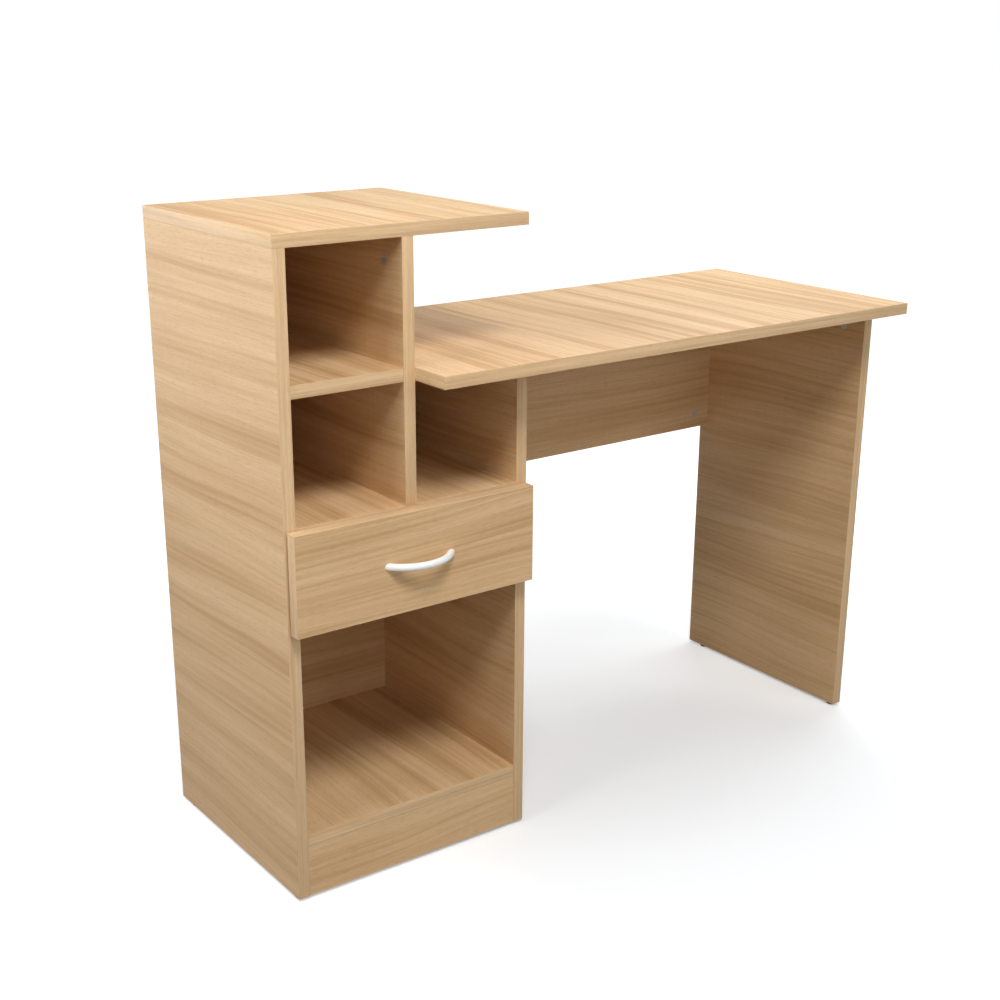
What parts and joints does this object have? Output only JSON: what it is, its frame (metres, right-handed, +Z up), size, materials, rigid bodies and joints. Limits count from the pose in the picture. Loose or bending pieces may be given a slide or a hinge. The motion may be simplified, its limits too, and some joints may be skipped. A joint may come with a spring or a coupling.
{
  "type": "work table",
  "caption": "Work table with a tall shelf tower at the left, one drawer with a bow handle, an open compartment on a plinth, and a desktop on a leg panel with a modesty panel.",
  "frame": {"origin": "on the floor, under the middle of the table's outline", "axes": "+X along the desk from the tower to the leg panel, +Y from the user to the back, +Z up"},
  "size_m": [1.135, 0.45, 0.945],
  "materials": {
    "oak_laminate": "matte oak melamine on chipboard",
    "oak_edge_band": "matte oak edge banding",
    "back_board": "oak printed fibreboard",
    "cam_zinc": "dull cast zinc",
    "steel_fastener": "zinc plated",
    "beech_dowel": "raw beech",
    "glide_plastic": "matte brown plastic",
    "runner_enamel": "white powder coat",
    "roller_nylon": "white nylon",
    "handle_white": "satin white plastic",
    "bumper_rubber": "clear soft plastic"
  },
  "bodies": {
    "table": {"tower_left_side": "oak_laminate", "tower_right_side": "oak_laminate", "tower_divider": "oak_laminate", "tower_top": "oak_laminate", "small_shelf": "oak_laminate", "shelf_above_drawer": "oak_laminate", "bottom_shelf": "oak_laminate", "plinth": "oak_laminate", "desktop": "oak_laminate", "leg_panel": "oak_laminate", "modesty_panel": "oak_laminate", "back_sheet_upper": "back_board", "back_sheet_lower": "back_board", "left_side_edge_band": "oak_edge_band", "right_side_edge_band": "oak_edge_band", "divider_edge_band": "oak_edge_band", "small_shelf_edge_band": "oak_edge_band", "shelf_above_drawer_edge_band": "oak_edge_band", "bottom_shelf_edge_band": "oak_edge_band", "tower_top_edge_bands": "oak_edge_band", "desktop_edge_bands": "oak_edge_band", "leg_panel_edge_bands": "oak_edge_band", "modesty_panel_edge_band": "oak_edge_band", "cam_locks": "cam_zinc", "cam_bolts": "steel_fastener", "dowels": "beech_dowel", "divider_screws": "steel_fastener", "back_sheet_nails": "steel_fastener", "foot_glides": "glide_plastic", "left_cabinet_runner": "runner_enamel", "right_cabinet_runner": "runner_enamel", "cabinet_runner_screws": "steel_fastener", "cabinet_roller_pins": "steel_fastener"},
    "drawer": {"drawer_front": "oak_laminate", "drawer_left_side": "oak_laminate", "drawer_right_side": "oak_laminate", "drawer_back": "oak_laminate", "drawer_bottom": "back_board", "drawer_front_edge_bands": "oak_edge_band", "drawer_box_edge_bands": "oak_edge_band", "drawer_handle": "handle_white", "handle_screws": "steel_fastener", "drawer_cam_locks": "cam_zinc", "drawer_cam_bolts": "steel_fastener", "drawer_dowels": "beech_dowel", "drawer_bottom_nails": "steel_fastener", "left_drawer_runner": "runner_enamel", "right_drawer_runner": "runner_enamel", "drawer_runner_screws": "steel_fastener", "drawer_roller_pins": "steel_fastener", "drawer_bumpers": "bumper_rubber"},
    "left_cabinet_roller": {"left_cabinet_roller": "roller_nylon"},
    "right_cabinet_roller": {"right_cabinet_roller": "roller_nylon"},
    "left_drawer_roller": {"left_drawer_roller": "roller_nylon"},
    "right_drawer_roller": {"right_drawer_roller": "roller_nylon"}
  },
  "joints": [
    {"name": "drawer_slide", "type": "slide", "parent": "table", "child": "drawer", "axis": [0, -1, 0], "range_m": [0, 0.26]},
    {"name": "left_cabinet_roller_spin", "type": "hinge", "parent": "table", "child": "left_cabinet_roller", "pos_m": [-0.54425, -0.141, 0.4343], "axis": [1, 0, 0], "range_deg": [0, 1657]},
    {"name": "right_cabinet_roller_spin", "type": "hinge", "parent": "table", "child": "right_cabinet_roller", "pos_m": [-0.19075, -0.141, 0.4343], "axis": [1, 0, 0], "range_deg": [0, 1657]},
    {"name": "left_drawer_roller_spin", "type": "hinge", "parent": "drawer", "child": "left_drawer_roller", "pos_m": [-0.54225, 0.177, 0.4343], "axis": [1, 0, 0], "range_deg": [0, 1657]},
    {"name": "right_drawer_roller_spin", "type": "hinge", "parent": "drawer", "child": "right_drawer_roller", "pos_m": [-0.19275, 0.177, 0.4343], "axis": [1, 0, 0], "range_deg": [0, 1657]}
  ],
  "couplings": [
    {"joint": "left_cabinet_roller_spin", "follows": "drawer_slide", "rad_per_m": 111.11},
    {"joint": "right_cabinet_roller_spin", "follows": "drawer_slide", "rad_per_m": 111.11},
    {"joint": "left_drawer_roller_spin", "follows": "drawer_slide", "rad_per_m": 111.11},
    {"joint": "right_drawer_roller_spin", "follows": "drawer_slide", "rad_per_m": 111.11}
  ]
}
